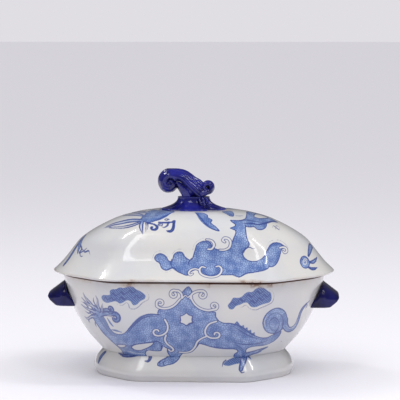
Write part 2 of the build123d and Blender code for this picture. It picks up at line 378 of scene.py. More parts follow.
def print_bowl(art):
    """The bowl's side: a long creature behind a shield, and two clouds."""
    # the shield in the middle, with its knob and star
    art.area([(-1, 93), (4, 86), (1, 81), (3, 76), (7, 70), (13, 66), (20, 63.5), (29, 63),
              (30, 57), (33, 51), (32, 40), (22, 28), (13, 24), (7, 14), (1, 7), (-8, 5),
              (-14, -2), (-22, -2), (-27, 8), (-25, 18), (-27, 32), (-26, 46), (-33, 57),
              (-36, 60), (-34, 66), (-26, 66.5), (-18, 70), (-11, 76), (-8, 80), (-9, 85)])
    star = [(-3.5 + r * math.sin(k * math.pi / 6), 53 + r * math.cos(k * math.pi / 6))
            for k, r in enumerate((7.6, 5.9) * 6)]
    art.hole(star, 1)
    art.line(star[2:8], (0.3, 0.9, 0.3))
    # the fore part, from the hump to the neck, with a fold of leg under it
    art.area([(-28, 56), (-36, 59.5), (-44, 60), (-51, 58), (-58, 53), (-64, 47), (-69, 41),
              (-74, 35), (-82, 32), (-90, 33), (-96, 38), (-99, 45), (-104, 53), (-110, 60),
              (-119, 60), (-125, 52), (-122, 44), (-117, 37), (-112, 30), (-104, 23), (-98, 17),
              (-90, 10), (-85, 4), (-83, -3), (-72, -3), (-60, -3), (-50, -3), (-51, 5),
              (-48, 9), (-40, 8), (-33, 9), (-32, 16), (-24, 12), (-22, 30)])
    art.hole([(-67, 13), (-63, 17), (-56, 19), (-48, 20.5), (-42, 21), (-46, 16), (-52, 12),
              (-58, 9.5), (-64, 10.5)])
    art.hole([(-90, 13), (-82, 15), (-75, 15), (-80, 12), (-85, 11)])
    art.line([(-29, 18), (-33, 20.5), (-38, 23.5), (-43, 22), (-52, 20.5), (-62, 18.5), (-70, 15),
              (-78, 16), (-90, 18)], (0.4, 0.9, 0.7, 0.3))
    art.line([(-33, 10), (-32.5, 16), (-36, 21)], (0.3, 1.8, 0.4), "deep")
    art.line([(-50, 7), (-58, 6), (-66, 8), (-76, 9), (-88, 9)], (0.3, 1.1, 1.0, 0.4), "deep")
    art.line([(-74, 10), (-69, 12.5), (-64, 10)], (0.5, 1.8, 0.5), "deep")
    art.line([(-52, 1), (-60, 0), (-72, 1), (-82, 3)], (0.6, 1.6, 1.4, 0.5), "deep")
    art.line([(-54, 4), (-64, 4), (-76, 6)], 0.4, "pale")
    art.line([(-34, 56.5), (-44, 57), (-53, 54), (-60, 48), (-66, 41), (-71, 34)],
             (0.3, 0.8, 0.8, 0.3))
    art.line([(-32, 58.5), (-44, 59.5), (-55, 55.5), (-63, 48), (-70, 39)], (0.4, 1.2, 0.5), "deep")
    art.line([(-73, 35.5), (-78, 33), (-86, 33), (-93, 35.5)], (0.2, 0.6, 0.3), "pale")
    art.line([(-78, 35), (-86, 36.2), (-95, 36.5)], (0.5, 1.5, 0.5), "deep")
    art.line([(-90, 30), (-97, 36), (-103, 44), (-109, 51)], (0.3, 1.8, 0.6), "deep")
    art.line([(-90, 42), (-94, 46), (-98, 52)], (1.0, 1.8, 0.6), "deep")
    art.line([(-92, 14), (-102, 22), (-112, 32), (-120, 44)], (0.3, 1.0, 0.4), "deep")
    art.line([(-84, 28), (-94, 29), (-104, 37), (-112, 48), (-118, 56)], (0.2, 0.7, 0.4))
    # the hind part, down to the tail
    art.area([(28, 52), (38, 49.5), (47, 49), (54, 47), (60, 43), (66, 38), (72, 33.5), (80, 29.5),
              (90, 28), (100, 31), (112, 34), (110, 27), (104, 21), (96, 17), (86, 15), (74, 15.5),
              (66, 14), (63, 9), (66, 2), (66, -3), (50, -3), (49, 4), (53, 9), (49, 12),
              (38, 12.5), (26, 14.5), (14, 19), (8, 22), (18, 33)])
    art.line([(36, 46), (48, 44.5), (58, 38), (68, 31), (80, 26.5), (92, 25)], (0.3, 0.7, 0.4))
    art.line([(46, 25), (56, 20.5), (70, 20), (84, 21), (98, 25)], (0.3, 0.9, 0.7, 0.3))
    art.line([(12, 21), (24, 16), (38, 13.5), (52, 13)], (0.5, 1.5, 0.8), "deep")
    art.line([(50, 22), (56, 15), (60, 7), (60, 0)], (0.4, 1.9, 2.2, 1.6), "deep")
    art.line([(54, 6), (57, 2), (58, -2)], 0.4, "pale")
    art.limb([(65, 4), (74, 6), (84, 9), (94, 12)], (3.2, 2.8, 1.8, 0.3), 0.6)
    art.line([(70, 3), (78, 4), (85, 6)], (0.5, 1.4, 0.5), "deep")
    # tail: one coil and a waving end
    coil = [(101 + 19 * math.cos(k * math.pi / 6), 49 + 17.5 * math.sin(k * math.pi / 6))
            for k in range(12)]
    art.area(coil)
    art.line([(101, 31.5), (106, 38), (107.5, 45), (104, 51), (99, 54), (93, 51), (92, 44),
              (97, 38)], (0.8, 0.8, 0.7, 0.3))
    art.line([(110, 33), (113.5, 41), (113, 50), (108, 57), (100, 60), (92, 58), (88, 51),
              (88.5, 44)], (0.8, 0.7, 0.5, 0.2))
    art.line([(101, 51), (103, 47.5), (105.5, 44)], (0.4, 1.5, 0.4), "deep")
    art.line([(93, 42), (98, 37), (104, 35)], (0.4, 1.4, 0.5), "deep")
    art.line([(90, 38), (86, 44), (85, 52), (89, 59)], (0.2, 0.6, 0.2), "pale")
    art.limb([(117, 50), (117.5, 42), (122, 35.5), (129, 34.5), (135.5, 38.5), (139, 47),
              (141.5, 56), (147, 63), (157, 69)], (3.6, 4.6, 3.4, 2.6, 2.0, 1.6, 0.5), 0.6)
    art.line([(118, 42), (125, 36), (133, 38), (138, 47)], (0.2, 0.5, 0.3), "pale")
    art.line([(150, 60), (153, 63), (152, 67)], (0.3, 0.8, 0.3))
    # the ridge of fins
    art.line([(46, 48), (56, 44.5), (64, 38.5), (72, 33.5)], (0.4, 1.9, 1.9, 0.4), "deep")
    fins(art, [(50, 48.5), (58, 46)], 4.2)
    fins(art, [(58, 45.5), (62, 42.5), (66, 39.5), (70, 36), (74, 32.5)], 2.8)
    # fronds where the neck ends
    for points in ([(-112, 60), (-120, 64), (-130, 66), (-141, 73)],
                   [(-114, 56), (-124, 58), (-134, 60), (-144, 64)],
                   [(-118, 51), (-127, 50), (-135, 46), (-141, 48)],
                   [(-110, 60), (-112, 66), (-111, 72), (-114, 78)],
                   [(-106, 58), (-105, 64), (-103, 70)],
                   [(-120, 61), (-126, 68), (-133, 73), (-137, 79)]):
        art.limb(points, (2.6, 2.2, 1.3, 0.2), 0.5)
        art.line(points, (0.2, 0.7, 0.2), "pale")
    for points in ([(-126, 56), (-132, 54), (-139, 57)], [(-115, 65), (-119, 71), (-118, 76)],
                   [(-130, 62), (-136, 66), (-143, 68)], [(-118, 56), (-122, 53), (-128, 54)],
                   [(-121, 44), (-122, 40), (-120, 36)], [(-131, 47), (-134, 43), (-131, 41)]):
        art.line(points, (0.9, 1.0, 0.2))
    art.limb([(-110, 55), (-100, 58), (-91, 58)] + spiral((-85, 53.5), 5.4, 2.4, -0.8, 100),
             (3.0, 2.8, 2.4, 1.6), 0.8)
    art.limb([(-106, 60), (-99, 62)] + spiral((-91, 64), 4.0, 1.8, 0.85, 210),
             (2.2, 2.2, 1.6), 0.7)
    art.line([(-97, 55), (-91, 55.5), (-87, 54)], 0.5, "pale")
    cloud(art, [(-104, 77), (-101, 80.5), (-95, 81), (-90, 82), (-90, 86), (-87, 88.5),
                (-82, 89), (-78, 91), (-73, 90.5), (-68, 92.5), (-63, 92), (-59, 89), (-53, 86),
                (-49, 82), (-50, 78), (-55, 75), (-59, 71), (-63, 70.5), (-66, 75), (-70, 76),
                (-74, 73.5), (-78, 72), (-83, 74.5), (-89, 73), (-95, 71.5), (-101, 73)],
          [(-83, 72), (-79, 70.5), (-75, 70), (-71, 73), (-68.5, 72), (-67, 67), (-63, 65.5),
           (-58, 67.5), (-52, 73.5), (-46, 77), (-45, 82), (-47, 86)],
          [(-95, 76.5), (-84, 82), (-74, 84), (-64, 86), (-57, 80), (-74, 78), (-86, 77)])
    cloud(art, [(43, 71), (46, 75), (49, 80), (53, 80), (58, 81), (62, 85), (66, 87), (70, 87),
                (74, 90.5), (79, 92.5), (84, 91), (88, 88), (92, 85), (93, 78), (90, 74),
                (85, 73), (80, 71.5), (74, 69), (69, 69.5), (65, 74), (61, 74), (57, 72),
                (52, 70), (49, 66.5), (45, 66.5)],
          [(54, 68.5), (59, 69), (63, 71.5), (68, 67), (74, 65.5), (80, 68), (88, 71), (94, 74),
           (96.5, 80), (95, 86), (90, 90)],
          [(50, 73), (59, 77), (68, 82), (78, 86), (86, 82), (72, 75), (80, 78)])
    # white scrolls over the shield
    for points in (
            [(-10, 78), (-16, 71), (-23, 67), (-31, 66.5), (-36, 69)] + spiral(
                (-32.5, 73), 4.4, 1.8, -0.9, 200),
            [(2, 79), (6, 72), (12, 67), (20, 64.5), (27, 65.5)] + spiral(
                (27.5, 70), 4.4, 1.8, 0.9, -60),
            [(-8, 79), (-8.5, 84), (-12, 87.5)] + spiral((-17, 83.5), 5.0, 1.8, 1.0, 60),
            [(1, 79), (3, 84), (8, 87)] + spiral((14.5, 83), 5.0, 1.8, -1.0, 110),
            [(-28, 53), (-25, 46), (-25.5, 38), (-30, 33)] + spiral((-37, 36.5), 5.6, 2.0, -0.75, -70),
            [(30, 51), (22, 47.5), (17.5, 40), (18, 33), (23, 29)] + spiral(
                (29.5, 33.5), 5.0, 1.8, 0.8, -100),
            [(-27, 32), (-28.5, 26), (-26, 19.5), (-21, 14), (-19.5, 10), (-22.5, 8), (-25, 11)],
            [(19, 31), (13, 28), (8, 23), (5, 15), (0, 8.5), (-7, 6.5), (-13, 7)]):
        art.line(points, (0.9, 1.0, 0.8), "bare")
    art.line([(-7, 80), (-4, 82.5), (-1.5, 80), (1, 82.5), (3, 80)], 0.5, "bare")


def print_foot(art):
    """The foot: the ends of the creature's legs, and a tip of leaf near the left end."""
    art.area([(-22, 36), (-28, 30), (-36, 25), (-38, 20), (-33, 18), (-26, 20), (-19, 22),
              (-13, 28), (-12, 36)])
    art.line([(-34, 20), (-35, 24), (-31, 28)], (0.3, 0.7, 0.3))
    art.line([(-30, 19), (-31, 23), (-28, 26)], (0.3, 0.7, 0.3))
    art.limb([(-48, 34), (-46, 30), (-48, 25), (-52, 25)], (2.2, 1.6, 1.2, 0.3))
    art.limb([(-60, 34), (-70, 31), (-82, 29), (-92, 31)], (2.4, 2.2, 1.6, 0.4))
    art.area([(56, 34), (48, 30), (42, 27), (37, 22), (43, 20), (50, 22), (57, 24), (62, 30)],
             "deep")
    art.line([(40, 27), (37, 24), (36, 19)], (0.8, 0.7, 0.3))
    art.limb([(61, 34), (60, 27), (58, 20), (57, 15)], (4.2, 3.4, 2.6, 2.0))
    art.line([(55, 16), (58, 12), (62, 13)], (0.5, 0.8, 0.3))
    art.line([(64, 33), (68, 29), (70, 27)], (1.6, 1.0, 0.3), "deep")
    art.limb([(-116, 29), (-122, 25), (-127, 19), (-129, 13)], (0.6, 2.4, 2.4, 0.6))
    art.line([(-121, 22), (-125, 18), (-127, 14)], (0.4, 1.2, 0.3), "deep")


def print_lid(art):
    """The lid: a lobed body with a neck, a wave, a tuft, a wing and sprigs."""
    # the lobed body with its neck
    art.area([(-40, 31), (-38, 35), (-33, 37), (-27, 34), (-23, 28), (-20, 28), (-18, 36),
              (-13, 39), (-8, 38), (-5, 33), (-1, 30), (2, 30), (5, 40), (7, 47), (12, 51),
              (18, 52), (23, 50), (26, 45), (31, 42), (40, 41), (45, 46), (48, 55), (50, 60),
              (50, 65), (44, 69), (50, 74), (45, 82), (58, 82), (63, 78), (63, 66), (64, 56),
              (67, 48), (64, 43), (60, 39), (61, 33), (66, 29), (73, 28), (80, 31), (85, 35),
              (89, 30), (90, 20), (84, 15), (72, 12), (63, 10), (56, 5), (50, 8), (42, 8),
              (32, 8), (22, 6), (14, 9), (8, 15), (2, 12), (-2, 7), (-9, 10), (-14, 13),
              (-18, 18), (-25, 14), (-31, 17), (-34, 24), (-38, 27)])
    # scrolls left white in it
    art.line([(18, 18.5), (14, 20), (11.5, 16), (13, 10.5), (18, 7), (25, 5.5), (31, 7), (35, 11),
              (36, 17), (33, 21), (29.5, 20)], (0.7, 1.0, 1.0, 1.0, 0.7), "bare")
    art.line([(17, 16.5), (15.5, 13), (18, 9.5), (23, 8.2)], (0.6, 1.5, 1.5, 0.4), "deep")
    art.line([(31, 18), (33, 14), (30.5, 10), (26, 8.2)], (0.6, 1.5, 1.5, 0.4), "deep")
    art.line([(12, 15), (7, 17), (2, 15.5), (-0.5, 11), (1.5, 8), (4, 10)], (0.7, 0.9, 0.6), "bare")
    art.line([(18, 53.5), (24, 52), (27, 47), (24, 42), (20, 42)], (0.5, 1.0, 0.8), "bare")
    art.line([(10, 47), (15, 50), (21, 49), (22.5, 46), (20, 44.5)], (0.3, 1.2, 1.6, 0.8), "deep")
    art.line([(33, 41), (39, 41), (44, 44), (45.5, 50), (43, 54.5), (38.5, 55.5), (36.5, 52.5),
              (39, 50.5)], (0.6, 1.0, 1.0, 0.7), "bare")
    # outlines and shading
    art.line([(60, 38), (62, 42), (66, 44.5), (70, 43), (74, 43.5)], (0.6, 0.7, 0.3))
    art.line([(-20, 30), (-21, 24), (-19, 18)], (0.6, 0.7, 0.3))
    art.line([(2, 31), (-1, 25), (1, 19)], (0.6, 0.7, 0.2))
    art.line([(-37, 33), (-33, 35), (-28, 32.5)], (0.3, 1.1, 0.3), "deep")
    art.line([(-17, 34), (-13, 37), (-8, 36)], (0.3, 1.4, 0.3), "deep")
    art.line([(-30, 16), (-25, 15), (-19, 18), (-14, 14), (-6, 10)], (0.3, 1.0, 0.9, 0.3), "deep")
    art.line([(46, 9), (56, 6), (64, 11), (76, 13.5), (88, 18)], (0.3, 1.0, 0.4), "deep")
    for k in range(5):
        art.line([(-16 + 3 * k, 33), (-15.5 + 3 * k, 25), (-13 + 3 * k, 17)], 0.22)
        art.line([(-36 + 2.6 * k, 33), (-34.5 + 2.6 * k, 27), (-31 + 2.2 * k, 19)], 0.2)
        art.line([(66 + 4 * k, 26), (67.5 + 4 * k, 21), (67 + 4 * k, 15)], 0.22)
    for points in ([(-42, 30), (-39.5, 37), (-33, 39.5), (-26, 36.5), (-22, 30.5)],
                   [(-20, 36), (-14, 41.5), (-7, 40.5), (-3, 34), (-0.5, 32)],
                   [(3, 40), (5, 48), (11, 53.5), (18, 55.5), (26, 53), (29.5, 46)],
                   [(-36, 22), (-32.5, 15), (-25, 12), (-19, 15.5)]):
        art.line(points, 0.12)
    # the arm like a breaking wave
    art.area([(85, 34), (87, 40), (92, 45), (98, 48), (105, 48), (111, 46), (115, 42), (110, 39),
              (107, 33), (103, 26), (98, 21), (92, 19), (88, 22)])
    art.line([(87, 37), (92, 43.5), (98, 46), (105, 46), (112, 43)], (0.4, 1.8, 1.8, 0.5), "deep")
    art.line([(107, 41.5), (112, 42), (116.5, 40.5), (117.5, 37), (114, 35.5), (111.5, 37.5)],
             (0.8, 1.0, 1.0, 0.6), "bare")
    art.line([(85, 41), (91, 48), (100, 51), (110, 49.5), (117, 45), (120.5, 40)], 0.2)
    for k in range(5):
        art.line([(90 + 3.6 * k, 42), (91 + 3.2 * k, 34), (92 + 2.0 * k, 24)], 0.22)
    # the curved leaf under the finial, dark on one side and ribbed on the other
    art.area([(3, 104), (12, 103), (18, 96), (19, 90), (24, 84), (23, 78), (28, 72), (33, 64),
              (24, 67), (16, 76), (10, 88), (6, 97)])
    art.line([(5, 102), (9, 91), (14, 80), (22, 70), (31, 64.5)], (1.0, 2.2, 1.8, 0.5), "deep")
    for k in range(6):
        art.line([(11 + 2.6 * k, 96 - 5 * k), (16 + 2.2 * k, 95 - 4.6 * k)], (0.4, 0.25))
    # the upper left: a tuft with streaming fronds and curls
    art.area([(-58, 108), (-22, 108), (-24, 100), (-30, 92), (-38, 83), (-46, 78), (-54, 79),
              (-62, 83), (-60, 94)])
    art.line([(-24, 102), (-30, 93), (-37, 85), (-46, 80)], (0.8, 2.4, 2.4, 0.6), "deep")
    art.line([(-30, 104), (-38, 96), (-48, 90), (-58, 89)], (0.2, 0.5, 0.3))
    for points, widths in (
            ([(-58, 81), (-75, 79), (-90, 74), (-105, 69), (-120, 62)], (2.4, 3.2, 2.8, 1.8, 0.3)),
            ([(-60, 77), (-71, 71), (-84, 67), (-98, 65), (-112, 64)], (1.8, 2.2, 1.6, 0.9, 0.3)),
            ([(-58, 90), (-72, 91), (-88, 88), (-104, 84)], (1.8, 2.4, 1.4, 0.3)),
            ([(-56, 98), (-70, 97), (-86, 94), (-98, 91)], (1.8, 1.8, 1.2, 0.3)),
            ([(-57, 79), (-56.5, 70), (-53.5, 59)], (2.6, 2.6, 0.4)),
            ([(-51, 78), (-49.5, 70), (-51, 62)], (1.2, 1.2, 0.3))):
        art.limb(points, widths, 0.5)
        art.line(points, (0.2, 0.9, 0.2), "pale")
    art.line([(-84, 68), (-78, 69.5), (-72, 70)], (0.4, 1.6, 0.4), "deep")
    art.line([(-58, 83), (-70, 81.5), (-84, 80.5)], (0.5, 1.2, 0.4), "deep")
    art.limb([(-50, 77), (-43, 75.5)] + spiral((-42, 69), 4.6, 2.0, -0.8, 62), (1.0, 1.4, 1.1), 0.5)
    art.line(spiral((-34, 74.5), 3.2, 1.0, 1.2, 90), 0.7)
    art.line(spiral((-28, 84), 2.8, 1.0, 1.1, 0), 0.7)
    art.limb([(-37, 79), (-29, 78), (-20, 79.5)], (0.8, 1.2, 1.6), 0.6)
    art.limb([(-19.5, 82), (-19.5, 74), (-20, 67), (-23, 63.5), (-27, 64.5)],
             (1.4, 1.0, 1.4, 1.4, 0.8), 0.6)
    art.line([(-26, 78), (-26.5, 73), (-30, 69.5), (-33, 71)], (1.0, 1.3, 0.9, 0.4))
    # the upper right: a wing with a scalloped hem
    art.area([(44, 84), (56, 83), (65, 85), (70, 92), (76, 97), (88, 97), (100, 92), (112, 83),
              (125, 71), (112, 73), (102, 74), (94, 72), (84, 72), (74, 75), (62, 76), (50, 77)])
    art.hole([(82, 87), (90, 90), (101, 87), (108, 81), (98, 82), (89, 83)])
    art.area([(61, 77), (63, 71), (69, 69), (75, 69), (79, 65), (87, 64), (94, 67), (97, 73),
              (86, 74), (74, 76)])
    art.line([(47, 83), (58, 81.5), (66, 82), (76, 79), (90, 75)], (0.3, 0.8, 0.5))
    art.line([(58, 76.5), (70, 75.5), (82, 72.5), (96, 73.5), (112, 74.5), (123, 71.5)],
             (0.4, 0.9, 1.4, 0.4))
    for k in range(9):
        art.line([(63 + 3.6 * k, 75 - 0.3 * k), (63.5 + 3.6 * k, 70.5 - 0.5 * k)], 0.28)
    art.area([(36, 106), (40, 98), (45, 92), (50, 92), (52, 99), (50, 106)])
    art.line([(42, 104), (45, 97), (49, 94)], (0.4, 1.6, 0.5), "deep")
    art.line([(52, 93), (60, 91), (66, 92)], (0.3, 0.6, 0.3))
    art.line([(104, 66), (107.5, 68), (110, 65.5), (113, 68), (116, 65.5)], (0.4, 0.6, 0.3))
    art.line([(107, 63), (110.5, 64.5), (114, 62), (118, 65)], (0.4, 0.6, 0.3))
    # sprigs at the ends
    art.limb([(-157, 49), (-161, 38), (-168, 24), (-178, 10)], (2.6, 2.4, 2.2, 1.4), 0.7)
    art.limb([(-156, 48), (-152, 38), (-150, 29)], (3.6, 3.2, 0.6), 0.6)
    art.line([(-150, 40), (-144, 36), (-147, 31), (-139, 34), (-134, 38)], (0.9, 1.2, 0.8, 0.4))
    art.line([(-143, 36), (-136, 33), (-130, 35), (-126, 31)], (0.6, 1.1, 0.5))
    art.line([(-146, 31), (-142, 27), (-138, 28)], (0.9, 0.8, 0.3))
    for k in range(6):
        art.line([(-163 - 2.2 * k, 36 - 4.6 * k), (-158 - 2.6 * k, 38 - 4.8 * k)], 0.35)
    art.area([(136, 22), (139, 28), (146, 29), (152, 24), (153, 17), (147, 12), (140, 14)])
    art.line(spiral((145, 21), 4.6, 1.4, 1.3, 40), (0.7, 0.8, 0.5), "pale")
    art.line([(138, 27), (144, 24), (151, 25)], (0.4, 0.9, 0.3))
    art.limb([(152, 28), (158, 34), (166, 38), (174, 37)], (1.0, 3.2, 3.4, 1.0), 0.7)
    art.limb([(153, 20), (162, 20), (172, 24)], (1.0, 2.6, 1.0), 0.7)
    art.limb([(150, 13), (158, 10), (166, 11)], (0.8, 2.0, 0.8), 0.6)


# ---- Materials ----------------------------------------------------------------------------
def linear(red, green, blue):
    """A colour given from 0 to 255 as screens show it, in the renderer's linear values."""
    return tuple(((c / 255 + 0.055) / 1.055) ** 2.4 for c in (red, green, blue)) + (1.0,)


class Nodes:
    """Short calls for building one material's nodes."""

    def __init__(self, name):
        self.material = bpy.data.materials.new(name)
        self.material.use_nodes = True
        self.tree = self.material.node_tree
        self.shader = self.tree.nodes["Principled BSDF"]

    def feed(self, socket, value):
        if isinstance(value, bpy.types.NodeSocket):
            self.tree.links.new(value, socket)
        else:
            socket.default_value = value

    def add(self, kind, inputs=None, output=0, **settings):
        made = self.tree.nodes.new("ShaderNode" + kind)
        for key, value in settings.items():
            setattr(made, key, value)
        for key, value in (inputs or {}).items():
            self.feed(made.inputs[key], value)
        return made.outputs[output]

    def field(self, name):
        return self.add("Attribute", attribute_name=name, output="Fac")

    def math(self, operation, first, second=0.0):
        return self.add("Math", {0: first, 1: second}, operation=operation)

    def ramp(self, value, low, high, start=0.0, end=1.0):
        """A soft step from start to end as value goes from low to high."""
        return self.add("MapRange", {"Value": value, "From Min": low, "From Max": high,
                                     "To Min": start, "To Max": end},
                        interpolation_type="SMOOTHSTEP")

    def band(self, value, centre, near, far, strength=1.0):
        """Strength where value lies within near of the centre, fading to nothing at far."""
        away = self.math("ABSOLUTE", self.math("SUBTRACT", value, centre))
        return self.ramp(away, near, far, strength, 0.0)

    def mix(self, factor, first, second):
        made = self.tree.nodes.new("ShaderNodeMix")
        made.data_type = "RGBA"
        for socket, value in ((0, factor), (6, first), (7, second)):
            self.feed(made.inputs[socket], value)
        return made.outputs[2]

    def noise(self, place, scale, detail=3.0, rough=0.55):
        return self.add("TexNoise", {"Vector": place, "Scale": scale, "Detail": detail,
                                     "Roughness": rough})

    def bump(self, height, strength, distance):
        return self.add("Bump", {"Height": height, "Strength": strength, "Distance": distance})

    def gloss(self, roughness, coat_roughness):
        self.feed(self.shader.inputs["Roughness"], roughness)
        self.shader.inputs["Coat Weight"].default_value = 1.0
        self.shader.inputs["Coat Roughness"].default_value = coat_roughness
        self.shader.inputs["Coat IOR"].default_value = 1.5


WHITE = linear(216, 214, 211)
COOL = linear(207, 208, 211)
TEA = linear(190, 172, 150)
RUST = linear(128, 84, 60)
PALE_BLUE = linear(155, 178, 218)
MID_BLUE = linear(97, 127, 184)
DARK_BLUE = linear(44, 66, 138)
# colour of the joint's dark band: painted shade under the lid's lip, mixed with grime
SHADE_AND_GRIME = linear(84, 48, 30)


def glaze(name, wear_low, wear_high):
    """White glaze over print. The worn edge lies between two heights, in millimetres."""
    n = Nodes(name)
    spot = n.add("NewGeometry", output="Position")
    place = n.add("Attribute", attribute_name="place", output="Vector")
    cloudy = n.noise(spot, 18.0)
    base = n.mix(n.ramp(cloudy, 0.35, 0.7), WHITE, COOL)

    # the print: a wobble on every edge, a net over the tint, and pooled colour
    wobble = n.math("MULTIPLY", n.math("SUBTRACT", n.noise(place, 0.9, 2.0), 0.5), print_wobble)
    wash = n.math("ADD", n.field("wash"), wobble)
    ink = n.math("ADD", n.field("ink"), n.math("MULTIPLY", wobble, 0.5))
    deep = n.math("ADD", n.field("deep"), wobble)
    bare = n.field("bare")
    pale = n.field("pale")
    cell = n.add("TexVoronoi", {"Vector": place, "Scale": net_scale, "Randomness": 1.0},
                 feature="DISTANCE_TO_EDGE", output="Distance", voronoi_dimensions="2D")
    net = n.ramp(cell, 0.02, 0.15, 0.85, 0.0)
    pooled = n.noise(place, 0.09, 3.0)
    tint = n.mix(n.ramp(pooled, 0.35, 0.68), MID_BLUE, PALE_BLUE)
    tint = n.mix(net, tint, DARK_BLUE)
    hatch = n.add("TexWave", {"Vector": place, "Scale": 0.22, "Distortion": 2.5, "Detail": 1.0},
                  output="Fac", wave_type="BANDS", bands_direction="DIAGONAL")
    dark = n.mix(n.ramp(hatch, 0.3, 0.7), DARK_BLUE, MID_BLUE)
    tint = n.mix(n.ramp(deep, -0.8, 0.9, 0.85, 0.0), tint, dark)
    tint = n.mix(n.band(wash, -0.6, 0.35, 0.85), tint, DARK_BLUE)
    colour = n.mix(n.ramp(n.math("MINIMUM", wash, deep), -0.35, 0.35, 1.0, 0.0), base, tint)
    colour = n.mix(n.ramp(ink, -0.3, 0.35, 0.92, 0.0), colour, DARK_BLUE)
    colour = n.mix(n.ramp(pale, -0.25, 0.4, 0.75, 0.0), colour, base)
    colour = n.mix(n.band(bare, 0.55, 0.2, 0.7, 0.85), colour, DARK_BLUE)
    colour = n.mix(n.ramp(bare, -0.25, 0.25, 1.0, 0.0), colour, base)

    # tea-coloured staining and rust-coloured wear along the edge where lid and bowl meet, and in the
    # joint itself a dark band of painted shade under the lid's lip mixed with grime
    height = n.add("SeparateXYZ", {0: spot}, output="Z")
    patchy = n.noise(spot, 20.0, 5.0, 0.65)
    fine = n.noise(spot, 190.0, 4.0, 0.7)
    wear_middle, wear_reach = (wear_low + wear_high) / 2 * MM, (wear_high - wear_low) / 2 * MM
    near = n.band(height, wear_middle, wear_reach * 0.25, wear_reach)
    stain = n.math("MULTIPLY", near, n.ramp(patchy, 0.34, 0.62))
    colour = n.mix(n.math("MULTIPLY", stain, 0.7), colour, TEA)
    worn = n.math("MULTIPLY", n.math("MULTIPLY", near, n.ramp(patchy, 0.52, 0.6)),
                  n.ramp(fine, 0.42, 0.54))
    colour = n.mix(n.math("MULTIPLY", worn, 0.8), colour, RUST)
    # painted shade: the joint's dark band stands for the shadow under the lid's lip, mixed with grime
    joint = n.band(height, bowl_high[2] * MM, joint_shade_and_grime * 0.7 * MM, joint_shade_and_grime * MM)
    joint = n.math("MULTIPLY", joint, n.ramp(n.noise(spot, 7.0), 0.36, 0.5, 0.7, 1.0))
    colour = n.mix(joint, colour, SHADE_AND_GRIME)
    speck = n.add("TexVoronoi", {"Vector": spot, "Scale": 70.0}, output="Distance")
    specks = n.math("MULTIPLY", n.ramp(speck, 0.03, 0.07, 1.0, 0.0),
                    n.ramp(n.noise(spot, 9.0), 0.6, 0.66))
    colour = n.mix(specks, colour, RUST)
    n.feed(n.shader.inputs["Base Color"], colour)
    n.gloss(n.ramp(worn, 0.0, 1.0, 0.3, 0.75), 0.07)
    ripple = n.math("MULTIPLY", n.noise(spot, 220.0, 2.0), 0.10)
    uneven = n.math("ADD", n.noise(spot, 40.0, 2.0), ripple)
    n.feed(n.shader.inputs["Normal"], n.bump(uneven, 0.25, 0.0012))
    n.feed(n.shader.inputs["Coat Normal"], n.bump(uneven, 0.18, 0.0012))
    return n.material


def plain_glaze():
    """White glaze with no print, for the flange, with bare clay on its edge."""
    n = Nodes("plain_glaze")
    spot = n.add("NewGeometry", output="Position")
    base = n.mix(n.ramp(n.noise(spot, 18.0), 0.35, 0.7), WHITE, COOL)
    stained = n.ramp(n.noise(spot, 45.0, 5.0, 0.7), 0.5, 0.68)
    n.feed(n.shader.inputs["Base Color"], n.mix(n.math("MULTIPLY", stained, 0.5), base, TEA))
    n.gloss(n.ramp(stained, 0.0, 1.0, 0.3, 0.6), 0.08)
    n.feed(n.shader.inputs["Normal"], n.bump(n.noise(spot, 60.0, 3.0), 0.25, 0.001))
    return n.material


def cobalt_glaze(name, thin, thick, coat_ior):
    """Deep blue glaze, thin and paler on raised edges, nearly black where it pools."""
    n = Nodes(name)
    spot = n.add("NewGeometry", output="Position")
    sharp = n.add("NewGeometry", output="Pointiness")
    drift = n.noise(spot, 60.0, 3.0)
    body = n.mix(n.ramp(drift, 0.35, 0.7), thin, thick)
    body = n.mix(n.ramp(sharp, 0.515, 0.60, 0.0, 0.75), body, linear(58, 66, 168))
    body = n.mix(n.ramp(sharp, 0.44, 0.49, 0.8, 0.0), body, linear(8, 7, 36))
    n.feed(n.shader.inputs["Base Color"], body)
    n.shader.inputs["Specular IOR Level"].default_value = 0.1
    n.gloss(0.3, 0.03)
    n.shader.inputs["Coat IOR"].default_value = coat_ior
    n.feed(n.shader.inputs["Normal"], n.bump(n.noise(spot, 160.0, 2.0), 0.2, 0.0006))
    n.feed(n.shader.inputs["Coat Normal"], n.bump(n.noise(spot, 110.0, 2.0), 0.15, 0.0006))
    return n.material


# ---- Bowl, foot and lid -------------------------------------------------------------------
def dress(piece, node, body, material):
    """Gives a new piece its material and its body, and hides the CAD node that it stands for."""
    piece.data.materials.append(material)
    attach(piece, body)
    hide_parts(node)


